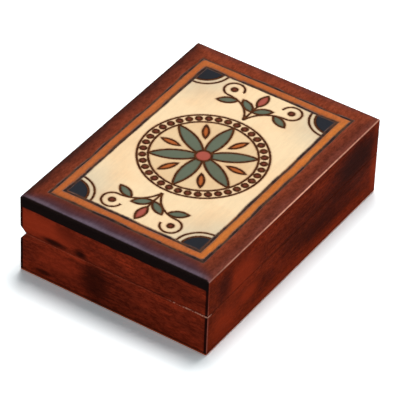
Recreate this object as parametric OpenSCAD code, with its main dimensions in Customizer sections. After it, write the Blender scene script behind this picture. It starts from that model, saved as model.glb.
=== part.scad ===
/* [Box] */
// Width of the closed box, from the hinge side to the opening side
box_w = 90; // [76:1:110]
// Length of the closed box, from the front end to the back end
box_l = 127; // [112:1:160]
// Height of the base, up to the seam
base_h = 20; // [14:1:40]
// Height of the lid, from the seam to the top face
lid_h = 18; // [14:1:30]
// Gap between the base and the closed lid
seam_gap = 0.15; // [0.05:0.05:0.3]
// Thickness of the mitred side walls
wall_t = 9.5; // [8.5:0.5:14]
// Radius of the upright outer corners
corner_r = 0.3; // [0.2:0.1:3]
// Radius of the eased outer edge round the underside
foot_edge_r = 0.5; // [0.2:0.1:1]
// Radius of the eased outer edges along the seam
seam_edge_r = 0.3; // [0.1:0.05:0.5]
// Radius of the eased inner edges along the seam
inner_edge_r = 0.4; // [0.2:0.1:1]

/* [Bottom panel] */
// Thickness of the bottom panel
panel_t = 3; // [2:0.5:6]
// How far the bottom panel reaches under each wall
panel_lip = 4; // [2:0.5:6]
// Gap between the bottom panel's edges and the rabbet
panel_fit = 0.1; // [0.05:0.05:0.4]

/* [Lid top board] */
// Thickness of the top board
top_t = 5.5; // [4:0.5:9]
// Radius of the eased edge round the top face
top_edge_r = 0.7; // [0.2:0.1:1.5]
// Distance from the board's edge to the middle of the outer border groove
border_inset = 8.1; // [5:0.1:12]
// Distance between the middles of the two border grooves
strip_w = 4.4; // [2.5:0.1:7]
// Width of the border grooves
groove_w = 1; // [0.6:0.1:1.6]
// Depth of the border grooves
groove_d = 0.5; // [0.2:0.1:1.2]

/* [Ornament] */
// Width of the burned lines
line_w = 0.8; // [0.4:0.1:1.2]
// Depth of the burned lines
line_d = 0.3; // [0.1:0.1:1]
// Distance from the panel's side to the outer ring of the medallion
ring_margin = 5; // [2:0.5:10]
// Width of the band of round bosses between the two rings
boss_band = 4.6; // [3.6:0.2:7]
// Radius of a boss
boss_r = 1.2; // [0.8:0.1:1.6]
// Distance between the middles of neighbouring bosses
boss_pitch = 4; // [3.6:0.1:8]
// Radius of the disc in the middle of the rosette
heart_r = 3.4; // [2:0.1:4.4]
// Length of the small leaves between the petals
dart_l = 8.6; // [6:0.2:9]
// Width of the small leaves between the petals
dart_w = 2.6; // [1.6:0.2:3.4]
// Distance that the small leaves keep from the inner ring
dart_gap = 2.2; // [1.4:0.2:3]
// Distance that the sprays keep from the ring and the border
spray_margin = 1.8; // [1.4:0.2:3]
// Length of a spray's leaves
leaf_l = 8.8; // [6:0.2:9.6]
// Width of a spray's leaves
leaf_wide = 3.7; // [2.4:0.1:4.4]
// Angle between a spray's stem and its two leaves
leaf_angle = 55; // [45:1:65]
// Angle between a spray's stem and the leaves on its tendrils
tendril_leaf_angle = 118; // [105:1:125]
// Place of a spray's two leaves along the bare part of its stem
leaf_foot = 0.62; // [0.4:0.02:0.8]
// Place of a leaf along its tendril's reach
tendril_leaf_foot = 0.62; // [0.5:0.02:0.8]
// Radius of the round scrolls that the tendrils end in
scroll_r = 4.4; // [3:0.1:5]
// Distance from a spray's stem to the middle of its scrolls
scroll_out = 14; // [12:0.5:15]
// Radius of the dark quarter rounds in the panel's corners
fan_r = 9; // [5:0.5:10]
// Distance from a quarter round to the line that follows it
fan_step = 2.4; // [1.6:0.1:3]

/* [Hinge groove] */
// Distance from the hinge side's face to the hinge axis
axis_inset = 3; // [2.4:0.1:3.4]
// Height of the sloping cut on the lid
lid_slope_h = 3; // [2.8:0.1:3.5]
// Height of the sloping cut on the base
base_slope_h = 3.8; // [3.8:0.1:5]

/* [Hinges] */
// Length of a hinge
hinge_l = 20; // [16:1:30]
// Distance from the box's end to the nearer end of a hinge
hinge_end = 17; // [12:1:25]
// Number of knuckles on a hinge
knuckles = 5; // [3:2:7]
// Outer radius of the knuckles
knuckle_r = 1.5; // [1.2:0.1:1.8]
// Gap between neighbouring knuckles
knuckle_gap = 0.1; // [0.05:0.05:0.3]
// Gap between a knuckle and what it turns past
barrel_fit = 0.25; // [0.15:0.05:0.4]
// Radius of the hinge pin
pin_r = 0.6; // [0.4:0.05:0.8]
// Radial gap between the pin and its bores
pin_fit = 0.04; // [0.02:0.01:0.08]
// Width of a leaf, from the hinge axis
leaf_w = 5.6; // [5.4:0.1:6.2]
// Thickness of a leaf
leaf_t = 0.8; // [0.6:0.1:1]
// Gap between a leaf's edges and its mortise
mortise_fit = 0.05; // [0.05:0.05:0.2]

/* [Screws] */
// Radius of a screw's shank
shank_r = 0.7; // [0.5:0.05:0.9]
// Radius of a screw's head
head_r = 1.25; // [1.1:0.05:1.35]
// Height of a screw's countersunk head
head_h = 0.6; // [0.4:0.05:0.7]
// Length of a screw, its head included
screw_l = 6; // [4:0.5:9]
// How far a head lies below its leaf's face
head_sink = 0.05; // [0.05:0.05:0.15]
// Gap round a screw in its leaf and its hole
screw_fit = 0.05; // [0.03:0.01:0.1]
// Distance from the hinge axis to the screws
screw_in = 3.7; // [3.3:0.1:4]
// Distance from a leaf's end to the middle of its screw
screw_end = 3.6; // [2.4:0.1:5]
// Width of the slot in a head
slot_w = 0.35; // [0.2:0.05:0.5]
// Depth of the slot in a head
slot_d = 0.3; // [0.1:0.05:0.35]

/* [Hidden] */
$fn = 48;
over = 1;
box_h = base_h + lid_h;
rail_z = base_h + seam_gap;
rail_h = lid_h - seam_gap - top_t;
board_z = box_h - top_t;
inner_w = box_w - 2 * wall_t;
inner_l = box_l - 2 * wall_t;

axis_x = axis_inset - box_w / 2;
axis_z = base_h + seam_gap / 2;
hinge_y = box_l / 2 - hinge_end - hinge_l / 2;
knuckle_pitch = hinge_l / knuckles;
bore_r = pin_r + pin_fit;
relief_r = knuckle_r + barrel_fit;
screw_y = hinge_l / 2 - screw_end;

panel_inset = border_inset + strip_w + groove_w / 2;
half_w = box_w / 2 - panel_inset;
half_l = box_l / 2 - panel_inset;
ring_r = min(half_w, half_l) - ring_margin;
rosette_r = ring_r - boss_band;
boss_ring_r = ring_r - boss_band / 2;
bosses = floor(2 * PI * boss_ring_r / boss_pitch);
spray_y = ring_r + spray_margin;
spray_l = half_l - ring_r - 2 * spray_margin;
stem_l = spray_l - leaf_l;
PETALS = 6;

WOOD_DARK = [0.33, 0.13, 0.07];
WOOD_RED = [0.40, 0.14, 0.06];
WOOD_PALE = [0.98, 0.87, 0.70];
BRASS = [0.80, 0.62, 0.28];
STEEL = [0.75, 0.72, 0.62];

// A corner's waste outside a quarter circle, for a corner that sits at the origin
module corner_waste(r) {
    difference() {
        translate([-over, -over]) square(r + over);
        translate([r, r]) circle(r);
    }
}

// A rectangle from the origin whose corners are rounded by [low left, low right, high right, high left]
module eased_rect(size, radii) {
    difference() {
        square(size);
        if (radii[0] > 0) corner_waste(radii[0]);
        if (radii[1] > 0) translate([size[0], 0]) mirror([1, 0]) corner_waste(radii[1]);
        if (radii[2] > 0) translate(size) rotate(180) corner_waste(radii[2]);
        if (radii[3] > 0) translate([0, size[1]]) mirror([0, 1]) corner_waste(radii[3]);
    }
}

// The box's outline with rounded corners, centred
module box_plan(w, l) {
    translate([-w / 2, -l / 2]) eased_rect([w, l], [corner_r, corner_r, corner_r, corner_r]);
}

// Puts a wall that is drawn with its outer face on y = 0 on one side of the box
module on_side(turn, depth) {
    rotate([0, 0, turn]) translate([0, -depth / 2, 0]) children();
}

// A mitred bar along x: the child outline runs from the outer face inwards and upwards
module mitred_bar(span, depth, height) {
    intersection() {
        translate([-span / 2, 0, 0]) rotate([90, 0, 90]) linear_extrude(span) children();
        linear_extrude(height) intersection() {
            polygon([
                [-span / 2, 0], [span / 2, 0],
                [span / 2 - wall_t, wall_t], [wall_t - span / 2, wall_t]
            ]);
            translate([0, depth / 2]) box_plan(span, depth);
        }
    }
}

// Section of a base wall, with the rabbet for the bottom panel
module base_section() {
    difference() {
        eased_rect([wall_t, base_h], [foot_edge_r, 0, inner_edge_r, seam_edge_r]);
        translate([wall_t - panel_lip, -over]) square([panel_lip + over, panel_t + over]);
    }
}

// Section of a lid rail
module rail_section() {
    eased_rect([wall_t, rail_h], [seam_edge_r, inner_edge_r, 0, 0]);
}

// The sloping cuts along the hinge side that make a V when the lid is shut
module base_slope() {
    run = axis_inset + over;
    rise = run * base_slope_h / axis_inset;
    slope_bar([[0, 0], [-run, -rise], [-run, over], [0, over]], base_h);
}

module lid_slope() {
    run = axis_inset + over;
    rise = run * lid_slope_h / axis_inset;
    slope_bar([[0, 0], [0, -over], [-run, -over], [-run, rise]], rail_z);
}

module slope_bar(outline, z) {
    translate([axis_x, box_l / 2 + over, z])
        rotate([90, 0, 0]) linear_extrude(box_l + 2 * over) polygon(outline);
}

// Repeats the children at both hinges
module at_hinges() {
    for (side = [-1, 1]) at_hinge(side) children();
}

// Moves to the middle of one hinge's axis: -1 is the front hinge and 1 the back one
module at_hinge(side) {
    translate([axis_x, side * hinge_y, axis_z]) children();
}

// A round bar along the hinge axis
module axis_bar(r, length) {
    rotate([90, 0, 0]) cylinder(r = r, h = length, center = true);
}

// Room for a closed hinge's barrel
module barrel_relief() {
    axis_bar(relief_r, hinge_l + 2 * barrel_fit);
}

// Recess for a leaf that lies below the seam, with its two screw holes
module leaf_recess() {
    translate([0, -hinge_l / 2 - mortise_fit, -seam_gap / 2 - leaf_t])
        cube([leaf_w + mortise_fit, hinge_l + 2 * mortise_fit, leaf_t + seam_gap / 2 + over]);
    at_screws() screw_hole();
}

// Repeats the children at a lower leaf's screws, with z = 0 on the leaf's face
module at_screws() {
    for (y = [-screw_y, screw_y]) translate([screw_in, y, -seam_gap / 2]) children();
}

// A screw hangs down from its head, whose top lies on z = -head_sink
module screw() {
    tip_h = 2 * shank_r;
    shank_h = screw_l - head_h - tip_h;
    translate([0, 0, -head_sink]) {
        difference() {
            translate([0, 0, -head_h]) cylinder(r1 = shank_r, r2 = head_r, h = head_h);
            translate([-slot_w / 2, -head_r - over, -slot_d]) cube([slot_w, 2 * (head_r + over), slot_d + over]);
        }
        translate([0, 0, -head_h - shank_h]) cylinder(r = shank_r, h = shank_h);
        translate([0, 0, -screw_l]) cylinder(r1 = shank_r / 3, r2 = shank_r, h = tip_h);
    }
}

// The hole through a leaf for a countersunk screw
module screw_seat() {
    translate([0, 0, -head_sink - head_h])
        cylinder(r1 = shank_r + screw_fit, r2 = head_r + screw_fit, h = head_h);
    translate([0, 0, -head_sink]) cylinder(r = head_r + screw_fit, h = head_sink + over);
    translate([0, 0, -leaf_t - over]) cylinder(r = shank_r + screw_fit, h = leaf_t + over);
}

// The hole in the wood for a screw
module screw_hole() {
    translate([0, 0, -screw_l - head_sink - screw_fit])
        cylinder(r = shank_r + screw_fit, h = screw_l + head_sink + screw_fit);
}

// A leaf that lies below the seam, with every second knuckle from the given first one
module leaf(first) {
    difference() {
        union() {
            translate([0, -hinge_l / 2, -seam_gap / 2 - leaf_t]) cube([leaf_w, hinge_l, leaf_t]);
            at_knuckles(first) axis_bar(knuckle_r, knuckle_pitch - knuckle_gap);
        }
        at_knuckles(1 - first) axis_bar(relief_r, knuckle_pitch + knuckle_gap);
        axis_bar(bore_r, hinge_l + 2 * over);
        at_screws() screw_seat();
    }
}

// Repeats the children at every second knuckle
module at_knuckles(first) {
    for (i = [first:2:knuckles - 1])
        translate([0, (i + 0.5) * knuckle_pitch - hinge_l / 2, 0]) children();
}

// A base wall on one side of the box
module base_wall(turn, span, depth) {
    color(WOOD_RED) difference() {
        on_side(turn, depth) mitred_bar(span, depth, base_h) base_section();
        base_slope();
    }
}

// A lid rail on one side of the box
module lid_rail(turn, span, depth) {
    color(WOOD_RED) difference() {
        translate([0, 0, rail_z]) on_side(turn, depth) mitred_bar(span, depth, rail_h) rail_section();
        lid_slope();
    }
}

module base_front_wall() {
    base_wall(0, box_w, box_l);
}

module base_right_wall() {
    base_wall(90, box_l, box_w);
}

module base_back_wall() {
    base_wall(180, box_w, box_l);
}

module base_hinge_wall() {
    color(WOOD_RED) difference() {
        base_wall(270, box_l, box_w);
        at_hinges() barrel_relief();
        at_hinges() leaf_recess();
    }
}

// The panel lies flush with the walls' undersides
module bottom_panel() {
    w = inner_w + 2 * (panel_lip - panel_fit);
    l = inner_l + 2 * (panel_lip - panel_fit);
    color(WOOD_DARK) translate([-w / 2, -l / 2, 0]) cube([w, l, panel_t]);
}

module lid_front_rail() {
    lid_rail(0, box_w, box_l);
}

module lid_right_rail() {
    lid_rail(90, box_l, box_w);
}

module lid_back_rail() {
    lid_rail(180, box_w, box_l);
}

module lid_hinge_rail() {
    color(WOOD_RED) difference() {
        lid_rail(270, box_l, box_w);
        at_hinges() barrel_relief();
        at_hinges() mirror([0, 0, 1]) leaf_recess();
    }
}

module lid_top_board() {
    color(WOOD_PALE) difference() {
        board_blank();
        border_grooves();
        medallion_lines();
        boss_lines();
        spray_lines();
        fan_lines();
    }
}

// The board with its eased top edge and rounded corners
module board_blank() {
    translate([0, 0, board_z]) intersection() {
        linear_extrude(top_t) box_plan(box_w, box_l);
        translate([0, box_l / 2, 0]) rotate([90, 0, 0]) linear_extrude(box_l) board_section(box_w);
        translate([-box_w / 2, 0, 0]) rotate([90, 0, 90]) linear_extrude(box_w) board_section(box_l);
    }
}

module board_section(span) {
    translate([-span / 2, 0]) eased_rect([span, top_t], [0, 0, top_edge_r, top_edge_r]);
}

// A cut of the child outline down from the board's top face
module top_cut(depth) {
    translate([0, 0, box_h - depth]) linear_extrude(depth + over) children();
}

module border_grooves() {
    for (inset = [border_inset, border_inset + strip_w]) top_cut(groove_d) difference() {
        square([box_w - 2 * inset + groove_w, box_l - 2 * inset + groove_w], center = true);
        square([box_w - 2 * inset - groove_w, box_l - 2 * inset - groove_w], center = true);
    }
}

// A burned circle
module ring(r) {
    difference() {
        circle(r + line_w / 2);
        circle(r - line_w / 2);
    }
}

// A pointed leaf from the origin along x, grown by the given amount
module leaf_shape(length, width, grow) {
    r = (length * length + width * width) / (4 * width);
    intersection() {
        translate([length / 2, r - width / 2]) circle(r + grow);
        translate([length / 2, width / 2 - r]) circle(r + grow);
    }
}

// The burned outline of a pointed leaf
module leaf_line(length, width) {
    difference() {
        leaf_shape(length, width, line_w / 2);
        leaf_shape(length, width, -line_w / 2);
    }
}

// The two rings, and a rosette struck with a compass that is set to the inner ring's radius
module medallion_lines() {
    petal_w = 2 * rosette_r * (1 - cos(180 / PETALS));
    for (r = [ring_r, rosette_r, heart_r]) top_cut(line_d) ring(r);
    for (i = [0:PETALS - 1]) rotate(i * 360 / PETALS) {
        top_cut(line_d) difference() {
            rotate(90) leaf_line(rosette_r, petal_w);
            circle(heart_r);
        }
        top_cut(line_d) translate([rosette_r - dart_gap - dart_l, 0]) leaf_line(dart_l, dart_w);
    }
}

// The bosses between the rings
module boss_lines() {
    for (i = [0:bosses - 1]) top_cut(line_d)
        rotate((i + 0.5) * 360 / bosses) translate([boss_ring_r, 0]) ring(boss_r);
}

// A spray at each end of the panel: a stem with three leaves, between two tendrils
module spray_lines() {
    for (end = [-1, 1]) scale([1, end, 1]) translate([0, spray_y, 0]) {
        top_cut(line_d) translate([-line_w / 2, 0]) square([line_w, stem_l]);
        top_cut(line_d) translate([0, stem_l]) rotate(90) leaf_line(leaf_l, leaf_wide);
        for (side = [-1, 1]) scale([side, 1, 1]) {
            top_cut(line_d) translate([0, leaf_foot * stem_l]) rotate(90 - leaf_angle)
                leaf_line(leaf_l, leaf_wide);
            tendril_lines();
        }
    }
}

// A curve from the stem's foot that rolls up into a scroll with a boss in it, and carries a leaf
module tendril_lines() {
    rise = spray_l - 2 * scroll_r;
    r = (scroll_out * scroll_out + rise * rise) / (2 * rise);
    foot_x = tendril_leaf_foot * scroll_out;
    foot_y = rise - r + sqrt(r * r - pow(scroll_out - foot_x, 2));
    top_cut(line_d) intersection() {
        translate([scroll_out, rise - r]) ring(r);
        square([scroll_out, spray_l]);
    }
    top_cut(line_d) translate([scroll_out, spray_l - scroll_r]) scroll();
    top_cut(line_d) translate([scroll_out, spray_l - scroll_r]) ring(boss_r);
    top_cut(line_d) translate([foot_x, foot_y]) rotate(90 - tendril_leaf_angle)
        leaf_line(leaf_l, leaf_wide);
}

// Three quarters of a ring, open towards its lower inner side
module scroll() {
    difference() {
        ring(scroll_r);
        translate([-2 * scroll_r, -2 * scroll_r]) square(2 * scroll_r);
    }
}

// Quarter rounds in the panel's corners, each with a line that follows it
module fan_lines() {
    for (x = [-1, 1], y = [-1, 1], r = [fan_r, fan_r + fan_step]) top_cut(line_d) intersection() {
        translate([x * half_w, y * half_l]) ring(r);
        square([2 * half_w, 2 * half_l], center = true);
    }
}

module base_leaf(side) {
    color(BRASS) at_hinge(side) leaf(0);
}

module lid_leaf(side) {
    color(BRASS) at_hinge(side) mirror([0, 0, 1]) leaf(1);
}

module hinge_pin(side) {
    color(STEEL) at_hinge(side) axis_bar(pin_r, hinge_l);
}

module base_screws(side) {
    color(BRASS) at_hinge(side) at_screws() screw();
}

module lid_screws(side) {
    color(BRASS) at_hinge(side) mirror([0, 0, 1]) at_screws() screw();
}

module hinge_front_base_leaf() { base_leaf(-1); }
module hinge_front_lid_leaf() { lid_leaf(-1); }
module hinge_front_pin() { hinge_pin(-1); }
module hinge_front_base_screws() { base_screws(-1); }
module hinge_front_lid_screws() { lid_screws(-1); }
module hinge_back_base_leaf() { base_leaf(1); }
module hinge_back_lid_leaf() { lid_leaf(1); }
module hinge_back_pin() { hinge_pin(1); }
module hinge_back_base_screws() { base_screws(1); }
module hinge_back_lid_screws() { lid_screws(1); }

base_front_wall();
base_back_wall();
base_hinge_wall();
base_right_wall();
bottom_panel();
lid_top_board();
lid_front_rail();
lid_back_rail();
lid_hinge_rail();
lid_right_rail();
hinge_front_base_leaf();
hinge_front_lid_leaf();
hinge_front_pin();
hinge_back_base_leaf();
hinge_back_lid_leaf();
hinge_back_pin();
hinge_front_base_screws();
hinge_front_lid_screws();
hinge_back_base_screws();
hinge_back_lid_screws();
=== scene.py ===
"""A small wooden keepsake box with a hinged lid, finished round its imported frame."""

import math

import bpy
import numpy as np
from mathutils import Matrix, Vector


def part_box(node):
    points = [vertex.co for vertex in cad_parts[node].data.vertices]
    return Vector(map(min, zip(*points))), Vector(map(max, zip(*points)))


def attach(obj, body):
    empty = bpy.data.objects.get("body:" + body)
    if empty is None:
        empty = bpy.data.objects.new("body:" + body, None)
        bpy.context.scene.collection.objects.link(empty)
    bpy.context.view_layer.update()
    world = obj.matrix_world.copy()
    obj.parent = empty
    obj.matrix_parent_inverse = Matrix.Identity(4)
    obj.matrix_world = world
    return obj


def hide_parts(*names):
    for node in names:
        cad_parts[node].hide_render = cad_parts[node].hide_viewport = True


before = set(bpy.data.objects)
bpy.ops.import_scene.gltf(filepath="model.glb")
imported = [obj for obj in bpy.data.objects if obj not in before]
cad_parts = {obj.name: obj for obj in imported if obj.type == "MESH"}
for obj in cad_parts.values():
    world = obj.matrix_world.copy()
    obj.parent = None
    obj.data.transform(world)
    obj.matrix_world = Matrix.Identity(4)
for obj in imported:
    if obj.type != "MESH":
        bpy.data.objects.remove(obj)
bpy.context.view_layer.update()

MM = 0.001

# Sizes from the frame, in mm
board_low, board_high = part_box("lid_top_board")
HALF_W = board_high.x / MM
HALF_L = board_high.y / MM
TOP = board_high.z / MM
BOARD_Z = board_low.z / MM
WALL_T = (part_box("base_right_wall")[1].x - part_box("base_right_wall")[0].x) / MM
SEAM_Z = (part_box("base_right_wall")[1].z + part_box("lid_right_rail")[0].z) / (2 * MM)

# Eased edge of the top board, in mm
CORNER_R = 0.3
EDGE_R = 0.7

# Where the painted highlight sits on the arris, as shares of the edge's radius below the top
ARRIS_AT = 0.42
ARRIS_SPREAD = 0.4
ARRIS_FADE = 0.28

# Places of that painted highlight along the board, in mm: its middle and reach, the far part and
# the near end
HIGHLIGHT_MIDDLE = 2
HIGHLIGHT_REACH = 26
HIGHLIGHT_FAR = 20
HIGHLIGHT_NEAR = (-61, -48)

# Grid lines of the top board's mesh, as insets in mm: within the fixed inset they stay centred
GRID_INSET = 1.2
COARSE_INSETS = [GRID_INSET, 2.0, 3.0, 4.5, 6.2, 10.3]
FIXED_INSET = 2.5
FINE_STEP = 0.32
SAME_INSET = 1e-6
EDGE_BENDS = 6

# Points closer than this are joined, in metres, and edges sharper than this many degrees stay sharp
WELD_DISTANCE = 0.000001
SHARP_ANGLE = 50

# Border of the top board, in mm from its edge: its routed grooves sit a little off centre
BORDER_INSET = 8.4
STRIP_W = 4.5
OFF_X = -0.3
OFF_Y = 0.5
GROOVE_W = 1.4
GROOVE_D = 0.5
PANEL_INSET = BORDER_INSET + STRIP_W + GROOVE_W / 2
GROOVES = [BORDER_INSET, BORDER_INSET + STRIP_W]

# Waver of stain and soot along the board's two diagonals: reach and scale in mm, and phase
WAVERS = ((0.4, 7.3, 1), (0.3, 3.1, 2))
SOOT_WAVER = 0.3

# Raggedness of burned lines, sooty grooves and the ends' black band, in mm
LINE_RAGGED = 0.34
GROOVE_RAGGED = 0.36
BAND_RAGGED = 4.0

# Ornament, in mm: the leaves' angles are in degrees, and their feet are shares of their run
ORNAMENT_INSET = 13.0
PANEL_W = HALF_W - ORNAMENT_INSET
PANEL_L = HALF_L - ORNAMENT_INSET
LINE_W = 0.8
LINE_D = 0.34
RING_MARGIN = 5.0
RING_R = min(PANEL_W, PANEL_L) - RING_MARGIN
BOSS_BAND = 4.6
ROSETTE_R = RING_R - BOSS_BAND
BOSS_RING_R = RING_R - BOSS_BAND / 2
BOSS_R = 1.2
BOSS_PITCH = 4.0
BOSSES = int(2 * math.pi * BOSS_RING_R / BOSS_PITCH)
HEART_R = 3.4
PETALS = 6
PETAL_W = 2 * ROSETTE_R * (1 - math.cos(math.pi / PETALS))
DART_L = 8.6
DART_W = 2.6
DART_GAP = 2.2
SPRAY_MARGIN = 1.8
SPRAY_Y = RING_R + SPRAY_MARGIN
SPRAY_L = PANEL_L - RING_R - 2 * SPRAY_MARGIN
LEAF_L = 8.8
LEAF_W = 3.7
LEAF_ANGLE = 55
LEAF_FOOT = 0.62
TENDRIL_LEAF_ANGLE = 118
TENDRIL_LEAF_FOOT = 0.62
SCROLL_R = 4.4
SCROLL_OUT = 14.0
FAN_R = 9.0
FAN_STEP = 2.4

# Distance that stands for no line or groove near, in mm
FAR = 9.0

# Greyish wash of the panel's corners: full this near to a corner and gone this far from it, in mm
WASH_NEAR = 6
WASH_FAR = 24
WASH_SQUEEZE = 0.8


def colour(red, green, blue):
    """An sRGB colour out of 255, as the linear values that shaders take."""
    shares = [c / 255 for c in (red, green, blue)]
    return tuple(c / 12.92 if c <= 0.04045 else ((c + 0.055) / 1.055) ** 2.4 for c in shares)


# Stains of the ornament
CREAM = colour(255, 221, 177)
TAN = colour(240, 203, 158)
LEAF_GREEN = colour(104, 110, 92)
HEART_RED = colour(176, 88, 74)
BOSS_BROWN = colour(122, 60, 46)
DART_ORANGE = colour(190, 104, 54)
FAN_SLATE = colour(40, 42, 48)
WASH = colour(226, 204, 172)
CLOUD = colour(246, 218, 196)

# Stains of the border and the edge, and the painted sheen of the front border
SIDE_RED = colour(112, 38, 20)
END_BLACK = colour(26, 17, 16)
WALNUT = colour(67, 33, 26)
ROSEWOOD = colour(112, 54, 42)
MAHOGANY = colour(97, 42, 28)
RUSSET = colour(132, 58, 36)
# Painted sheen on the front border's edge, and the plum into which it fades
SHEEN_VIOLET = colour(105, 88, 100)
PLUM_AND_SHEEN = colour(76, 49, 56)
ORANGE = colour(188, 101, 53)
PALE_ORANGE = colour(206, 117, 55)

# Burned lines, sooty grooves and the painted highlight on the arris
SCORCH = colour(150, 92, 48)
CHAR_DARK = colour(66, 34, 20)
CHAR_BROWN = colour(98, 56, 30)
BLEED = colour(96, 62, 50)
# Pale lips of the grooves: part wood showing through, part painted highlight
BARE_WOOD_AND_GLINT = colour(132, 116, 108)
SOOT_BROWN = colour(92, 64, 50)
SOOT_BLACK = colour(54, 40, 38)
# Painted highlight along the top board's right arris
ARRIS_HIGHLIGHT = colour(255, 180, 150)

# Walls
PORE = colour(44, 14, 9)
BLOT = colour(41, 14, 9)
UPRIGHT_DARK = colour(20, 8, 8)
# Painted highlight down the upright corners of the long sides
UPRIGHT_HIGHLIGHT = colour(172, 92, 76)
SEAM_DARK = colour(34, 10, 6)
# Painted highlight on the base's eased edge below the seam, and its paler dashes
SEAM_GLINT = colour(186, 88, 62)
SEAM_GLINT_DASH = colour(222, 160, 136)
FOOT_DARK = colour(34, 12, 8)
# Painted reflection along the walls' foot
FOOT_REFLECTION = colour(196, 96, 58)
INSIDE_DARK = colour(92, 46, 30)
INSIDE_LIGHT = colour(140, 76, 48)

# Bottom panel
PANEL_DARK = colour(84, 44, 28)
PANEL_LIGHT = colour(132, 74, 46)
PANEL_PORE = colour(50, 24, 14)

# Amber tint of the lacquer's reflections, and their strength, which is less on the walls
LACQUER_TINT = (1, 0.5, 0.36, 1)
SPECULAR = 0.02
WALL_SPECULAR = 0.002

# Bright and tarnished metal
BRASS = colour(214, 176, 96), colour(150, 108, 56)
SCREW_BRASS = colour(224, 190, 112), colour(156, 116, 62)
STEEL = colour(190, 188, 182), colour(130, 124, 114)

# Depth of each finish's relief, in metres
BOARD_RELIEF = 0.00006
WOOD_RELIEF = 0.00008
METAL_RELIEF = 0.00003

# Stain of the left, right, front and back borders: at the edge, inside it and at the first groove;
# the front's edge holds a painted sheen
STAIN_STOPS = (1.6, 3.4, 8.0)
BORDER_STAIN_AND_SHEEN = (
    (WALNUT, MAHOGANY, RUSSET),
    (ROSEWOOD, MAHOGANY, RUSSET),
    (SHEEN_VIOLET, PLUM_AND_SHEEN, MAHOGANY),
    (ROSEWOOD, RUSSET, RUSSET),
)
# Stain of the strips on the same four sides
STRIP_STAIN = ((ORANGE,), (PALE_ORANGE,), (ORANGE,), (ORANGE,))
# Half the width in which one side's stain runs into the next across a corner, in mm
SIDE_BLEND = 5.0

# How calm the wood's mottle is: 0 on most of the border, 1 on the panel
STRIP_CALM = 0.62
FRONT_CALM = 0.6

# The black of the front edge fades out between these insets, in mm
FRONT_BLACK = (0.45, 1.5)
# The other edges take the side's stain between these shares of the radius below the top
SIDE_FADE = (0.25, 0.9)
# On the border's side of the first groove, soot ends this many times nearer to it
OUTER_SOOT = 1.4


# Distances on the panel, in mm
def circle(x, y, radius):
    return np.hypot(x, y) - radius


def leaf(x, y, length, width):
    """Below zero inside a pointed leaf that runs from the origin along x."""
    radius = (length * length + width * width) / (4 * width)
    rise = radius - width / 2
    u = x - length / 2
    return np.maximum(np.hypot(u, y - rise), np.hypot(u, y + rise)) - radius


def turned(x, y, foot_x, foot_y, degrees):
    """The points seen from a foot, with x along the given direction."""
    c, s = math.cos(math.radians(degrees)), math.sin(math.radians(degrees))
    u, v = x - foot_x, y - foot_y
    return u * c + v * s, v * c - u * s


def folded(angle, count, start):
    """The angle from the nearest of several even spokes, the first at start."""
    step = 2 * math.pi / count
    return np.mod(angle - start + step / 2, step) - step / 2


def smooth(low, high, value):
    share = np.clip((value - low) / (high - low), 0, 1)
    return share * share * (3 - 2 * share)


def blend(first, second, share):
    return first * (1 - share[..., None]) + np.array(second) * share[..., None]


def hollow(distance, width, depth):
    """Height of a round-bottomed cut at a distance from its middle."""
    return -depth * np.clip(1 - (2 * distance / width) ** 2, 0, 1)


def nearest_groove(inset):
    return np.minimum(*(np.abs(inset - groove) for groove in GROOVES))


class Panel:
    """Gathers burned lines and stained areas over a grid of points."""

    def __init__(self, x, y):
        self.burn = np.full(x.shape, FAR)
        cream = np.empty(x.shape + (3,))
        cream[:] = CREAM
        corner = np.hypot(PANEL_W - np.abs(x), (PANEL_L - np.abs(y)) * WASH_SQUEEZE)
        self.stain = blend(cream, WASH, 1 - smooth(WASH_NEAR, WASH_FAR, corner))

    def line(self, distance, where=None):
        distance = np.abs(distance)
        if where is not None:
            distance = np.where(where, distance, FAR)
        self.burn = np.minimum(self.burn, distance)

    def area(self, distance, stain):
        self.stain[distance < 0] = stain

    def shape(self, distance, stain, where=None):
        self.area(distance, stain)
        self.line(distance, where)


def draw_medallion(panel, x, y):
    reach, angle = np.hypot(x, y), np.arctan2(y, x)
    heart = circle(x, y, HEART_R)
    panel.area(circle(x, y, ROSETTE_R), TAN)
    spoke = folded(angle, PETALS, math.pi / 2)
    petal = leaf(reach * np.cos(spoke), reach * np.sin(spoke), ROSETTE_R, PETAL_W)
    panel.shape(petal, LEAF_GREEN, heart > 0)
    spoke = folded(angle, PETALS, 0)
    dart_foot = ROSETTE_R - DART_GAP - DART_L
    dart = leaf(reach * np.cos(spoke) - dart_foot, reach * np.sin(spoke), DART_L, DART_W)
    panel.shape(dart, DART_ORANGE)
    panel.shape(heart, HEART_RED)
    panel.line(reach - ROSETTE_R)
    panel.line(reach - RING_R)
    spoke = folded(angle, BOSSES, math.pi / BOSSES)
    boss = circle(reach * np.cos(spoke) - BOSS_RING_R, reach * np.sin(spoke), BOSS_R)
    panel.shape(boss, BOSS_BROWN)


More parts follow.
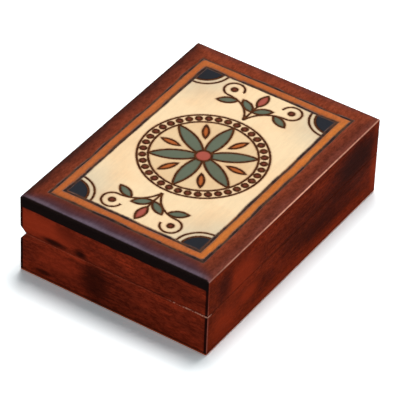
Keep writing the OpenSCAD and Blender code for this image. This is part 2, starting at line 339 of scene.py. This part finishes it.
def draw_spray(panel, x, y):
    """One quarter of the two sprays: x and y are the distances from the panel's axes."""
    y = y - SPRAY_Y
    stem_l = SPRAY_L - LEAF_L
    rise = SPRAY_L - 2 * SCROLL_R
    sweep_r = (SCROLL_OUT**2 + rise**2) / (2 * rise)
    sweep = circle(x - SCROLL_OUT, y - rise + sweep_r, sweep_r)
    panel.line(x, (y > 0) & (y < stem_l))
    panel.line(sweep, (x < SCROLL_OUT) & (y > 0))
    scroll_x, scroll_y = x - SCROLL_OUT, y - SPRAY_L + SCROLL_R
    panel.line(circle(scroll_x, scroll_y, SCROLL_R), (scroll_x > 0) | (scroll_y > 0))
    panel.shape(circle(scroll_x, scroll_y, BOSS_R), BOSS_BROWN)
    foot_x = TENDRIL_LEAF_FOOT * SCROLL_OUT
    foot_y = rise - sweep_r + math.sqrt(sweep_r**2 - (SCROLL_OUT - foot_x) ** 2)
    leaves = (
        (foot_x, foot_y, 90 - TENDRIL_LEAF_ANGLE, LEAF_GREEN),
        (0, LEAF_FOOT * stem_l, 90 - LEAF_ANGLE, LEAF_GREEN),
        (0, stem_l, 90, HEART_RED),
    )
    for leaf_x, leaf_y, degrees, stain in leaves:
        u, v = turned(x, y, leaf_x, leaf_y, degrees)
        panel.shape(leaf(u, v, LEAF_L, LEAF_W), stain)


def draw_fan(panel, x, y):
    """One quarter round in a corner: x and y are the distances from the panel's axes."""
    inside = (x < PANEL_W) & (y < PANEL_L)
    fan = circle(x - PANEL_W, y - PANEL_L, FAN_R)
    panel.shape(np.where(inside, fan, FAR), FAN_SLATE)
    panel.line(fan - FAN_STEP, inside)


def side_stain(inset, stains):
    stops, stains = STAIN_STOPS[:len(stains)], np.array(stains)
    return np.stack([np.interp(inset, stops, stains[:, k]) for k in range(3)], axis=-1)


def end_share(side_inset, end_inset):
    """0 on the long sides and 1 on the ends, running from one to the other across the corner."""
    return smooth(-SIDE_BLEND, SIDE_BLEND, side_inset - end_inset)


def border_stain(x, y, side_inset, end_inset, stains=BORDER_STAIN_AND_SHEEN):
    """The four sides' stain, each running into the next across the corner."""
    along = end_share(side_inset, end_inset)[..., None]
    left, right = (side_stain(side_inset, side) for side in stains[:2])
    front, back = (side_stain(end_inset, side) for side in stains[2:])
    sides = np.where((x > 0)[..., None], right, left)
    ends = np.where((y > 0)[..., None], back, front)
    return sides * (1 - along) + ends * along


def waver(x, y):
    """A slow drift, in mm."""
    (reach, scale, phase), (cross_reach, cross_scale, cross_phase) = WAVERS
    along = reach * np.sin((x + y) / scale + phase)
    return along + cross_reach * np.sin((x - y) / cross_scale + cross_phase)


def paint_board(x, y):
    """Height, stain, distances to a burned line and to a sooty groove, and calm of the top face."""
    u, v = x - OFF_X, y - OFF_Y
    panel = Panel(u, v)
    draw_medallion(panel, u, v)
    draw_spray(panel, np.abs(u), np.abs(v))
    draw_fan(panel, np.abs(u), np.abs(v))
    inset = np.minimum(HALF_W - np.abs(u), HALF_L - np.abs(v))
    burn = np.where(inset > PANEL_INSET, panel.burn, FAR)
    height = hollow(burn, LINE_W, LINE_D) + hollow(nearest_groove(inset), GROOVE_W, GROOVE_D)
    drift = waver(x, y)
    sooty = inset + SOOT_WAVER * drift
    soot = nearest_groove(sooty) * np.where(sooty < BORDER_INSET, OUTER_SOOT, 1.0)
    side_inset, end_inset = HALF_W - np.abs(x), HALF_L - np.abs(y)
    # On the front border this stain holds a painted sheen
    border = border_stain(x, y, side_inset + drift, end_inset + drift)
    strip = border_stain(x, y, side_inset, end_inset, STRIP_STAIN)
    stain = np.where((inset > BORDER_INSET)[..., None], strip, border)
    stain = np.where((inset > PANEL_INSET)[..., None], panel.stain, stain)
    border_calm = FRONT_CALM * end_share(side_inset, end_inset) * (y < 0)
    calm = np.where(inset > BORDER_INSET, STRIP_CALM, border_calm)
    calm = np.where(inset > PANEL_INSET, 1.0, calm)
    return height, stain, burn, soot, calm


def highlight_share(y):
    """Strength of the right arris's painted highlight: most in the middle of its run, least at the
    near end.
    """
    middle = 0.6 * np.exp(-(((y - HIGHLIGHT_MIDDLE) / HIGHLIGHT_REACH) ** 2))
    far_part = 0.1 * (y > HIGHLIGHT_FAR)
    near_end = 0.4 + 0.6 * smooth(*HIGHLIGHT_NEAR, y)
    return (0.5 + middle + far_part) * near_end


def paint_rim(points):
    """Stain of the eased edge, the strength of the painted highlight on its arris, and its calm."""
    x, y, z = points.T
    drop = (TOP - z) / EDGE_R
    side_inset, end_inset = HALF_W - np.abs(x), HALF_L - np.abs(y)
    on_end = side_inset > end_inset
    front = on_end & (y < 0)
    # On the front, the top of the eased edge holds the painted sheen
    top = border_stain(x, y, side_inset, end_inset)
    side = blend(np.tile(SIDE_RED, (len(points), 1)), END_BLACK, on_end.astype(float))
    share = np.where(front, 1 - smooth(*FRONT_BLACK, end_inset), smooth(*SIDE_FADE, drop))
    middle = np.clip((ARRIS_SPREAD - np.abs(drop - ARRIS_AT)) / ARRIS_FADE, 0, 1)
    # Strength of the painted highlight, on the right arris only
    arris = middle * highlight_share(y) * ((x > 0) & ~on_end)
    return blend(top, side, share), arris, FRONT_CALM * front


# Mesh of the top board
def across(half, shift):
    """Grid positions from side to side: coarse on the border, fine on the panel."""
    steps = [share * GROOVE_W for share in (-0.5, -0.25, 0, 0.25, 0.5)]
    border = sorted(COARSE_INSETS + [groove + step for groove in GROOVES for step in steps])
    outer = np.array([inset for inset in border if inset < PANEL_INSET - SAME_INSET])
    fine = round(2 * (half - PANEL_INSET) / FINE_STEP)
    inner = np.linspace(PANEL_INSET - half, half - PANEL_INSET, fine + 1)
    places = np.concatenate([outer - half, inner, half - outer[::-1]])
    return np.where(np.abs(places) < half - FIXED_INSET, places + shift, places)


def rim(xs, ys, inset, z):
    """Points round the board at one inset, with one for each grid line and round corners."""
    side, end = HALF_W - inset, HALF_L - inset
    turn = max(inset, CORNER_R)
    radius = turn - inset

    def corner(sx, sy, start):
        angles = np.radians(start + 90 * np.arange(EDGE_BENDS + 1) / EDGE_BENDS)
        middle_x, middle_y = sx * (HALF_W - turn), sy * (HALF_L - turn)
        return [(middle_x + radius * math.cos(a), middle_y + radius * math.sin(a)) for a in angles]

    points = [(x, -end) for x in xs] + corner(1, -1, -90)
    points += [(side, y) for y in ys] + corner(1, 1, 0)
    points += [(x, end) for x in xs[::-1]] + corner(-1, 1, 90)
    points += [(-side, y) for y in ys[::-1]] + corner(-1, -1, 180)
    return [(x, y, z) for x, y in points]


def side_slot(centre):
    """Which of the board's materials an upright face takes: front, right, back or hinge side."""
    to_side = HALF_W - abs(centre.x) / MM
    to_end = HALF_L - abs(centre.y) / MM
    if to_end < to_side:
        return 1 if centre.y < 0 else 3
    return 2 if centre.x > 0 else 4


def board_mesh():
    xs, ys = across(HALF_W, OFF_X), across(HALF_L, OFF_Y)
    x, y = np.meshgrid(xs, ys)
    height, stain, burn, soot, calm = paint_board(x, y)
    points = list(zip(x.ravel(), y.ravel(), (TOP + height).ravel()))
    columns = len(xs)
    faces = [
        (r * columns + c, r * columns + c + 1, (r + 1) * columns + c + 1, (r + 1) * columns + c)
        for r in range(len(ys) - 1)
        for c in range(columns - 1)
    ]
    turns = np.radians(np.linspace(0, 90, EDGE_BENDS + 1))
    profile = [(GRID_INSET, TOP)]
    profile += [(EDGE_R * (1 - math.sin(t)), TOP - EDGE_R * (1 - math.cos(t))) for t in turns]
    profile += [(0, BOARD_Z)]
    rings = [rim(xs, ys, inset, z) for inset, z in profile]
    count = len(rings[0])
    first = len(points)
    for ring in rings:
        points += ring
    for k in range(len(rings) - 1):
        a, b = first + k * count, first + (k + 1) * count
        faces += [(a + i, b + i, b + (i + 1) % count, a + (i + 1) % count) for i in range(count)]
    last = first + (len(rings) - 1) * count
    faces.append(tuple(last + i for i in reversed(range(count))))

    mesh = bpy.data.meshes.new("top_board")
    mesh.from_pydata([Vector(p) * MM for p in points], [], faces)
    for face in list(mesh.polygons)[-count - 1:]:
        face.material_index = side_slot(face.center)
    rim_stain, arris, rim_calm = paint_rim(np.array(points[first:]))
    far = np.full(len(arris), FAR)
    values = {
        "arris": (np.zeros(x.size), arris),
        "burn": (burn.ravel(), far),
        "groove": (soot.ravel(), far),
        "calm": (calm.ravel(), rim_calm),
    }
    for name, parts in values.items():
        attribute = mesh.attributes.new(name, "FLOAT", "POINT")
        attribute.data.foreach_set("value", np.concatenate(parts))
    colours = np.concatenate([stain.reshape(-1, 3), rim_stain])
    colours = np.column_stack([colours, np.ones(len(colours))])
    mesh.attributes.new("stain", "FLOAT_COLOR", "POINT").data.foreach_set("color", colours.ravel())
    return mesh


# Shader helpers
class Nodes:
    """A short way to build a node tree. Values are numbers, colours or other nodes' sockets."""

    def __init__(self, tree):
        self.tree = tree

    def add(self, kind, **settings):
        node = self.tree.nodes.new(kind)
        for key, value in settings.items():
            setattr(node, key, value)
        return node

    def put(self, value, socket):
        if isinstance(value, bpy.types.NodeSocket):
            self.tree.links.new(value, socket)
        elif isinstance(value, (tuple, list)) and len(value) == 3 and socket.type == "RGBA":
            socket.default_value = (*value, 1)
        else:
            socket.default_value = value

    def math(self, operation, *values, clamp=False):
        node = self.add("ShaderNodeMath", operation=operation, use_clamp=clamp)
        for value, socket in zip(values, node.inputs):
            self.put(value, socket)
        return node.outputs[0]

    def product(self, first, *others, clamp=False):
        for other in others:
            first = self.math("MULTIPLY", first, other, clamp=clamp)
        return first

    def minus(self, first, second):
        return self.math("SUBTRACT", first, second)

    def gap(self, first, second):
        return self.math("ABSOLUTE", self.minus(first, second))

    def weighted(self, *pairs):
        """The sum of values, each times its weight."""
        total = 0.0
        for value, weight in pairs:
            total = self.math("MULTIPLY_ADD", value, weight, total)
        return total

    def ragged(self, distance, noise, width):
        """A distance that a noise moves by half the width to either side."""
        return self.math("MULTIPLY_ADD", noise, width, self.minus(distance, width / 2))

    def mix(self, share, first, second, blend_type="MIX"):
        node = self.add("ShaderNodeMix", data_type="RGBA", blend_type=blend_type)
        self.put(share, node.inputs[0])
        self.put(first, node.inputs[6])
        self.put(second, node.inputs[7])
        return node.outputs[2]

    def scaled(self, tint, factor):
        node = self.add("ShaderNodeVectorMath", operation="SCALE")
        self.put(tint, node.inputs[0])
        self.put(factor, node.inputs["Scale"])
        return node.outputs[0]

    def ramp(self, value, low, high, to_low=0.0, to_high=1.0):
        """A smooth step from one value to another."""
        node = self.add("ShaderNodeMapRange", interpolation_type="SMOOTHSTEP")
        for data, socket in zip((value, low, high, to_low, to_high), node.inputs):
            self.put(data, socket)
        return node.outputs[0]

    def fade(self, distance, near, far, strength=1.0):
        """The strength up to the near distance, and nothing past the far one."""
        return self.ramp(distance, near, far, strength, 0.0)

    def places(self, stretch=(1, 1, 1), shift=(0, 0, 0)):
        """Object coordinates in mm, stretched and shifted."""
        coordinates = self.add("ShaderNodeTexCoord").outputs["Object"]
        node = self.add("ShaderNodeMapping")
        self.put(coordinates, node.inputs["Vector"])
        node.inputs["Scale"].default_value = [s / MM for s in stretch]
        node.inputs["Location"].default_value = shift
        return node.outputs[0]

    def axes(self):
        """The object's x, y and z in mm."""
        split = self.add("ShaderNodeSeparateXYZ")
        self.put(self.places(), split.inputs[0])
        return split.outputs

    def noise(self, size, shift=(0, 0, 0), detail=3.0, roughness=0.5, warp=0.0):
        """Noise of a size in mm, or of three sizes along x, y and z."""
        spans = size if isinstance(size, (tuple, list)) else (size, size, size)
        node = self.add("ShaderNodeTexNoise")
        self.put(self.places([1 / span for span in spans], shift), node.inputs["Vector"])
        node.inputs["Scale"].default_value = 1.0
        node.inputs["Detail"].default_value = detail
        node.inputs["Roughness"].default_value = roughness
        node.inputs["Distortion"].default_value = warp
        return node.outputs["Fac"]

    def attribute(self, name, output="Fac"):
        return self.add("ShaderNodeAttribute", attribute_name=name).outputs[output]

    def seen_directly(self):
        """1 for the camera and for what mirrors and glass show, else 0."""
        path = self.add("ShaderNodeLightPath").outputs
        mirrored = self.math("MAXIMUM", path["Is Camera Ray"], path["Is Glossy Ray"])
        return self.math("MAXIMUM", mirrored, path["Is Transmission Ray"])


class Finish(Nodes):
    """A material's nodes round its shader."""

    def __init__(self, name):
        self.material = bpy.data.materials.new(name)
        self.material.use_nodes = True
        super().__init__(self.material.node_tree)
        self.shader = self.tree.nodes["Principled BSDF"]

    def lacquer(self, roughness, specular=SPECULAR):
        """A thin amber lacquer: its reflections are faint and warm."""
        self.put(roughness, self.shader.inputs["Roughness"])
        self.shader.inputs["Specular IOR Level"].default_value = specular
        self.shader.inputs["Specular Tint"].default_value = LACQUER_TINT

    def covered(self, base, relief, depth, strength=0.5):
        """The material with its colour, and with a relief whose depth is in metres."""
        bump = self.add("ShaderNodeBump")
        bump.inputs["Strength"].default_value = strength
        bump.inputs["Distance"].default_value = depth
        self.put(relief, bump.inputs["Height"])
        self.put(bump.outputs[0], self.shader.inputs["Normal"])
        self.put(base, self.shader.inputs["Base Color"])
        return self.material


def sizes(along, long, thin):
    """Noise sizes that are long along one axis."""
    return [long if axis == along else thin for axis in "xyz"]


def grain(nodes, along, seed):
    """Broad streaks, fine streaks and pores of wood whose grain runs along one axis."""
    broad = nodes.noise(sizes(along, 22, 6), (seed, seed * 2, 0), 3, 0.5, 0.4)
    fine = nodes.noise(sizes(along, 26, 1.1), (seed, 0, seed), 4, 0.6, 0.2)
    pores = nodes.noise(sizes(along, 5, 0.28), (0, seed, seed), 2, 0.5)
    return broad, fine, nodes.ramp(pores, 0.60, 0.72)


# Materials of the top board
def streaked_stain(nodes, broad, fine):
    """The painted stain, mottled along the grain and faintly clouded."""
    calm = nodes.attribute("calm")
    streak = nodes.weighted((broad, 0.5), (fine, 0.7))
    mottle = nodes.noise(sizes("y", 2.4, 1.1), (7, 0, 0), 5, 0.7)
    rough = nodes.weighted((streak, 0.25), (mottle, 0.9))
    rough = nodes.ramp(rough, 0.38, 0.82, 0.62, 1.36)
    quiet = nodes.weighted((streak, 0.6), (mottle, 0.5))
    quiet = nodes.ramp(quiet, 0.38, 0.86, 0.95, 1.07)
    shade = nodes.weighted((rough, nodes.minus(1, calm)), (quiet, calm))
    base = nodes.scaled(nodes.attribute("stain", "Color"), shade)
    cloud = nodes.ramp(nodes.noise(16), 0.4, 0.7)
    return nodes.mix(nodes.product(cloud, 0.3), base, CLOUD, "MULTIPLY")


def burn_lines(nodes, base, wander):
    """Charred lines in a scorched halo, and the char's share."""
    edge = nodes.ragged(nodes.attribute("burn"), wander, LINE_RAGGED)
    scorch = nodes.fade(edge, LINE_W * 0.55, LINE_W * 1.6, 0.42)
    base = nodes.mix(scorch, base, SCORCH, "MULTIPLY")
    char = nodes.fade(edge, LINE_W * 0.42, LINE_W * 0.80)
    heat = nodes.mix(nodes.ramp(wander, 0.35, 0.65), CHAR_DARK, CHAR_BROWN)
    return nodes.mix(char, base, heat), char


def soot_grooves(nodes, base, wander):
    """Sooty grooves whose stain bleeds out, with pale lips here and there: part wood showing
    through, part painted highlight.
    """
    cut = nodes.ragged(nodes.attribute("groove"), wander, GROOVE_RAGGED)
    patchiness = nodes.noise(5, detail=2, roughness=0.6)
    bleed = nodes.product(nodes.fade(cut, 0.5, 1.4, 0.6), nodes.ramp(patchiness, 0.3, 0.6, 0.4, 1.0))
    base = nodes.mix(bleed, base, BLEED)
    # Pale lips: part wood showing through, part painted highlight
    pale_lip = nodes.product(nodes.fade(cut, 0.6, 1.0, 0.5), nodes.ramp(patchiness, 0.42, 0.62))
    base = nodes.mix(pale_lip, base, BARE_WOOD_AND_GLINT)
    soot = nodes.mix(nodes.ramp(patchiness, 0.35, 0.65), SOOT_BROWN, SOOT_BLACK)
    return nodes.mix(nodes.fade(cut, 0.4, 0.78), base, soot)


def board_material():
    """Stained wood with burned lines, sooty grooves and a painted highlight on the right arris."""
    nodes = Finish("burned_stained_and_highlighted_board")
    broad, fine, pores = grain(nodes, "y", 3)
    wander = nodes.noise(1.1, roughness=0.6)
    # The stain attribute holds the front border's painted sheen
    base = streaked_stain(nodes, broad, fine)
    base, char = burn_lines(nodes, base, wander)
    base = soot_grooves(nodes, base, wander)
    highlight_breaks = nodes.ramp(nodes.noise(2.4, roughness=0.6), 0.3, 0.55, 0.6, 1.0)
    # Painted highlight on the arris, broken up by noise
    glint = nodes.product(nodes.attribute("arris"), highlight_breaks, clamp=True)
    base = nodes.mix(glint, base, ARRIS_HIGHLIGHT)
    nodes.lacquer(nodes.ramp(char, 0, 1, 0.36, 0.55))
    return nodes.covered(base, nodes.weighted((pores, -0.5), (fine, 0.6)), BOARD_RELIEF)


# Walls: soft dark blots and red glows as ((run, height), (half length, half height), strength)
FRONT_BLOTS = [
    ((-28.5, 21.8), (7.0, 1.8), 0.95),
    ((-15.5, 22.3), (3.6, 2.2), 0.95),
    ((-23.0, 29.5), (6.0, 4.0), 0.35),
    ((-34, 4.0), (5.5, 1.6), 0.8),
    ((-8.7, 11.5), (8.0, 10.0), 0.75),
    ((-2, 8.0), (12.0, 9.0), 0.35),
    ((30, 26.0), (18.0, 6.0), 0.25),
    ((16, 21.5), (18.0, 2.5), 0.3),
]
FRONT_GLOWS = [
    ((-36, 27), (19.0, 7.0), 0.65),
    ((-26, 12), (12.0, 6.0), 0.3),
    ((-18, 19.5), (9.0, 1.6), 0.4),
]
RIGHT_BLOTS = [
    ((-51.5, 28.0), (6.0, 7.0), 0.65),
    ((46, 27.5), (23.0, 12.0), 0.9),
    ((34, 12.0), (26.0, 8.0), 0.5),
    ((14, 18.0), (30.0, 14.0), 0.45),
    ((-20, 10.0), (9.0, 3.5), 0.4),
]
RIGHT_GLOWS = [
    ((-39, 25.0), (13.0, 9.0), 0.5),
    ((-34, 12.0), (8.0, 4.0), 0.5),
    ((-51, 9.0), (11.0, 9.0), 0.4),
    ((0, 1.5), (60.0, 3.0), 0.45),
    ((61, 20.0), (3.0, 22.0), 0.6),
]
# Grain, the light, dark and glowing stains, and the strength of the painted highlight below the
# seam
ENDS = "x", colour(148, 48, 25), colour(98, 32, 18), colour(176, 58, 31), 0.42
SIDES = "y", colour(144, 45, 18), colour(94, 30, 12), colour(174, 55, 24), 0.24

# Middles of the dark line above the seam and of the painted highlight below it, in mm
DARK_LINE_Z = SEAM_Z + 0.45
LIGHT_LINE_Z = SEAM_Z - 0.18


def spots(nodes, base, places, tint, run, z, streak):
    """Soft oval patches of one tint, their edges broken up along the grain."""
    for (at, up), (long, tall), strength in places:
        u = nodes.math("DIVIDE", nodes.minus(run, at), long)
        v = nodes.math("DIVIDE", nodes.minus(z, up), tall)
        reach = nodes.math("SQRT", nodes.weighted((v, v), (u, u)))
        reach = nodes.ragged(reach, streak, 0.8)
        base = nodes.mix(nodes.fade(reach, 0.3, 1.3, strength), base, tint)
    return base


def upright_strip_and_highlight(nodes, base, to_side, to_end, z, highlight_breaks):
    """A dark strip on the ends' upright corners, and a painted highlight down the long sides'
    upright corners.
    """
    on_end = nodes.ramp(nodes.minus(to_side, to_end), -0.1, 0.1)
    dark = nodes.product(on_end, nodes.fade(to_side, 1.0, 1.6, 0.92))
    base = nodes.mix(dark, base, UPRIGHT_DARK)
    # Painted highlight down the long sides' upright corners, broken up by noise
    light = nodes.product(
        nodes.minus(1, on_end),
        nodes.fade(to_end, 0.4, 0.9),
        nodes.ramp(z, 8, 34, 0.8, 0.15),
        nodes.ramp(highlight_breaks, 0.3, 0.5, 0.4, 1.0),
    )
    return nodes.mix(light, base, UPRIGHT_HIGHLIGHT)


def seam_line_and_highlight(nodes, base, depth, z, run, highlight_breaks, glint, dash_run):
    """A dark line above the seam and a painted highlight below it, with paler dashes of it near the
    run's end.
    """
    outside = nodes.fade(depth, 0.3, 0.5)
    shade = nodes.product(outside, nodes.fade(nodes.gap(z, DARK_LINE_Z), 0.1, 0.4, 0.4))
    base = nodes.mix(shade, base, SEAM_DARK)
    line = nodes.product(outside, nodes.fade(nodes.gap(z, LIGHT_LINE_Z), 0.18, 0.42))
    # Painted highlight below the seam, broken up by noise, and its paler dashes
    glinting = nodes.product(line, nodes.ramp(highlight_breaks, 0.36, 0.6, 0.35 * glint, glint))
    base = nodes.mix(glinting, base, SEAM_GLINT)
    pale_lip = nodes.product(
        line, nodes.ramp(highlight_breaks, 0.42, 0.54), nodes.ramp(run, *dash_run, 0.0, 0.8)
    )
    return nodes.mix(pale_lip, base, SEAM_GLINT_DASH)


def foot_line_and_reflection(nodes, base, z, highlight_breaks):
    """A painted reflection along the foot's arris, with a dark line above it."""
    above = nodes.product(nodes.ramp(z, 0.8, 1.0), nodes.fade(z, 1.4, 1.9, 0.6))
    base = nodes.mix(above, base, FOOT_DARK)
    # Painted reflection along the foot, broken up by noise
    foot = nodes.product(nodes.fade(z, 0.7, 0.95, 0.85), nodes.ramp(highlight_breaks, 0.3, 0.5, 0.5, 1.0))
    return nodes.mix(foot, base, FOOT_REFLECTION)


def wall_material(name, seed, kind, dash_run, blots=(), glows=()):
    """Mahogany-stained wood under lacquer, with painted edge highlights and a black band along the
    board's edge on the ends.
    """
    along, light, dark, glow, glint = kind
    nodes = Finish(name)
    x, y, z = nodes.axes()
    run = x if along == "x" else y
    to_side = nodes.minus(HALF_W, nodes.math("ABSOLUTE", x))
    to_end = nodes.minus(HALF_L, nodes.math("ABSOLUTE", y))
    depth = nodes.math("MINIMUM", to_side, to_end)
    broad, fine, pores = grain(nodes, along, seed)
    streak = nodes.weighted((broad, 0.6), (fine, 0.4))
    highlight_breaks = nodes.noise(2.2, (seed, 0, 0), 3, 0.65)

    base = nodes.mix(nodes.ramp(streak, 0.30, 0.76), dark, light)
    base = nodes.mix(nodes.product(pores, 0.3), base, PORE)
    fleck = nodes.noise(0.9, (seed, 0, 0), 2, 0.6)
    base = nodes.mix(nodes.ramp(fleck, 0.35, 0.7, 0.0, 0.3), base, dark)
    mottle = nodes.noise(sizes(along, 2.4, 0.9), (0, seed, 0), 4, 0.75)
    base = nodes.scaled(base, nodes.ramp(mottle, 0.38, 0.62, 0.68, 1.34))
    base = spots(nodes, base, glows, glow, run, z, streak)

    base = upright_strip_and_highlight(nodes, base, to_side, to_end, z, highlight_breaks)
    seam_run = run if along == "x" else nodes.product(run, -1)
    base = seam_line_and_highlight(nodes, base, depth, z, seam_run, highlight_breaks, glint, dash_run)
    base = foot_line_and_reflection(nodes, base, z, highlight_breaks)
    base = spots(nodes, base, blots, BLOT, run, z, streak)
    if along == "x":
        edge = nodes.ragged(z, fine, BAND_RAGGED)
        band = nodes.ramp(edge, BOARD_Z + 0.05, BOARD_Z + 0.65)
        base = nodes.mix(band, base, END_BLACK)

    plain = nodes.mix(nodes.ramp(streak, 0.4, 0.72), INSIDE_DARK, INSIDE_LIGHT)
    base = nodes.mix(nodes.ramp(depth, WALL_T - 0.7, WALL_T - 0.4), base, plain)
    nodes.lacquer(nodes.ramp(streak, 0.3, 0.8, 0.42, 0.32), WALL_SPECULAR)
    return nodes.covered(base, nodes.weighted((pores, -0.6), (fine, 0.6)), WOOD_RELIEF)


def wall_materials():
    """Front, right, back and hinge side."""
    return (
        wall_material("front_stain_and_highlights", 5, ENDS, (26, 30), FRONT_BLOTS, FRONT_GLOWS),
        wall_material("right_stain_and_highlights", 17, SIDES, (58, 62), RIGHT_BLOTS, RIGHT_GLOWS),
        wall_material("back_stain_and_highlights", 29, ENDS, (40, 44)),
        wall_material("hinge_side_stain_and_highlights", 41, SIDES, (58, 62)),
    )


def panel_material():
    """Thin bottom panel with a plain brown stain."""
    nodes = Finish("bottom_panel_stain")
    broad, fine, pores = grain(nodes, "y", 11)
    streak = nodes.weighted((broad, 0.5), (fine, 0.6))
    base = nodes.mix(nodes.ramp(streak, 0.38, 0.74), PANEL_DARK, PANEL_LIGHT)
    base = nodes.mix(nodes.product(pores, 0.35), base, PANEL_PORE)
    nodes.lacquer(0.5)
    return nodes.covered(base, fine, WOOD_RELIEF, 0.4)


def metal_material(name, metal, roughness):
    """Drawn metal with a patchy tarnish and fine lines along the hinge."""
    nodes = Finish(name)
    patches = nodes.noise(sizes("y", 2.6, 1.8), detail=4, roughness=0.6)
    lines = nodes.noise(sizes("y", 6, 0.12), detail=2)
    base = nodes.mix(nodes.ramp(patches, 0.42, 0.72), *metal)
    dull = nodes.ramp(patches, 0.35, 0.75, roughness, roughness + 0.2)
    nodes.put(dull, nodes.shader.inputs["Roughness"])
    nodes.shader.inputs["Metallic"].default_value = 1.0
    return nodes.covered(base, lines, METAL_RELIEF, 0.4)


# Pieces
def make_top_board(walls):
    """The board, with the wall materials on its front, right, back and hinge sides."""
    board = bpy.data.objects.new("top_board", board_mesh())
    bpy.context.scene.collection.objects.link(board)
    weld = board.modifiers.new("weld", "WELD")
    weld.merge_threshold = WELD_DISTANCE
    bpy.context.view_layer.objects.active = board
    board.select_set(True)
    bpy.ops.object.modifier_apply(modifier="weld")
    board.select_set(False)
    board.data.shade_smooth()
    board.data.set_sharp_from_angle(angle=math.radians(SHARP_ANGLE))
    for material in (board_material(), *walls):
        board.data.materials.append(material)
    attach(board, "lid")
    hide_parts("lid_top_board")


def dress(node, material):
    """Gives a CAD node its material."""
    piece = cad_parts[node]
    piece.data.materials.clear()
    piece.data.materials.append(material)


def dress_nodes(walls):
    for side, material in zip(("front", "right", "back", "hinge"), walls):
        dress(f"base_{side}_wall", material)
        dress(f"lid_{side}_rail", material)
    dress("bottom_panel", panel_material())
    brass = metal_material("hinge_brass", BRASS, 0.28)
    screw = metal_material("screw_brass", SCREW_BRASS, 0.24)
    steel = metal_material("pin_steel", STEEL, 0.3)
    for side in ("front", "back"):
        dress(f"hinge_{side}_pin", steel)
        for part in ("base", "lid"):
            dress(f"hinge_{side}_{part}_leaf", brass)
            dress(f"hinge_{side}_{part}_screws", screw)


# Studio, in metres: floor and surroundings show white to the camera, and light the box softly
FLOOR_HALF = 3.0
FLOOR_Z = -0.0002
FLOOR_LIT = 0.80
FLOOR_SEEN = 1.46
WORLD_LIT = 0.18
WORLD_TINT = (0.72, 1.0, 1.08)
WHITE = (1, 1, 1)

# Lamps as (name, place, aim, size, power)
LAMPS = (
    ("key", (-0.045, 0.21, 1.0), (0, 0, 0.02), (0.38, 0.34), 7.8),
    ("fill", (0.1, -1.1, 0.45), (0, 0, 0.02), (0.5, 0.3), 2.4),
    ("rim", (1.1, 0.35, 0.35), (0, 0, 0.03), (0.4, 0.3), 2.2),
)

# Camera, solved from the box's corners in the photograph
CAMERA_AZIMUTH = 32.26
CAMERA_ELEVATION = 39.24
CAMERA_ROLL = 2.317
CAMERA_DISTANCE = 1.3039
CAMERA_TARGET = (0.00192, -0.00425, 0.0192)
CAMERA_LENS = 289.1
CAMERA_SENSOR = 36
CAMERA_CLIP = (0.05, 20)


def make_floor():
    """A white floor that keeps the box's shadow."""
    corners = [(x * FLOOR_HALF, y * FLOOR_HALF, 0) for x, y in ((-1, -1), (1, -1), (1, 1), (-1, 1))]
    mesh = bpy.data.meshes.new("floor")
    mesh.from_pydata(corners, [], [(0, 1, 2, 3)])
    floor = bpy.data.objects.new("floor", mesh)
    floor.location = (0, 0, FLOOR_Z)
    bpy.context.scene.collection.objects.link(floor)
    material = bpy.data.materials.new("floor_white")
    material.use_nodes = True
    material.node_tree.nodes.clear()
    nodes = Nodes(material.node_tree)
    paper = nodes.add("ShaderNodeBsdfDiffuse")
    nodes.put(nodes.ramp(nodes.seen_directly(), 0, 1, FLOOR_LIT, FLOOR_SEEN), paper.inputs["Color"])
    nodes.put(paper.outputs[0], nodes.add("ShaderNodeOutputMaterial").inputs["Surface"])
    mesh.materials.append(material)


def make_world():
    """Soft grey surroundings, slightly cool where they only light."""
    world = bpy.data.worlds.new("studio")
    bpy.context.scene.world = world
    world.use_nodes = True
    nodes = Nodes(world.node_tree)
    background = nodes.tree.nodes["Background"]
    direct = nodes.seen_directly()
    nodes.put(nodes.mix(direct, WORLD_TINT, WHITE), background.inputs["Color"])
    nodes.put(nodes.ramp(direct, 0, 1, WORLD_LIT, 1.0), background.inputs["Strength"])


def make_lamps():
    for name, place, aim, size, power in LAMPS:
        data = bpy.data.lights.new(name, "AREA")
        data.shape = "RECTANGLE"
        data.size, data.size_y = size
        data.energy = power
        lamp = bpy.data.objects.new(name, data)
        lamp.location = place
        lamp.rotation_euler = (Vector(aim) - Vector(place)).to_track_quat("-Z", "Y").to_euler()
        bpy.context.scene.collection.objects.link(lamp)


def make_camera():
    data = bpy.data.cameras.new("camera")
    data.sensor_width = CAMERA_SENSOR
    data.lens = CAMERA_LENS
    data.clip_start, data.clip_end = CAMERA_CLIP
    azimuth, elevation = math.radians(CAMERA_AZIMUTH), math.radians(CAMERA_ELEVATION)
    back = Vector((
        math.sin(azimuth) * math.cos(elevation),
        -math.cos(azimuth) * math.cos(elevation),
        math.sin(elevation),
    ))
    roll = Matrix.Rotation(math.radians(CAMERA_ROLL), 3, "Z")
    camera = bpy.data.objects.new("camera", data)
    camera.location = Vector(CAMERA_TARGET) + back * CAMERA_DISTANCE
    camera.rotation_euler = ((-back).to_track_quat("-Z", "Y").to_matrix() @ roll).to_euler()
    bpy.context.scene.collection.objects.link(camera)
    bpy.context.scene.camera = camera


make_camera()
make_world()
make_floor()
make_lamps()
wall_stains_and_highlights = wall_materials()
make_top_board(wall_stains_and_highlights)
dress_nodes(wall_stains_and_highlights)
bpy.context.scene.view_settings.view_transform = "Standard"
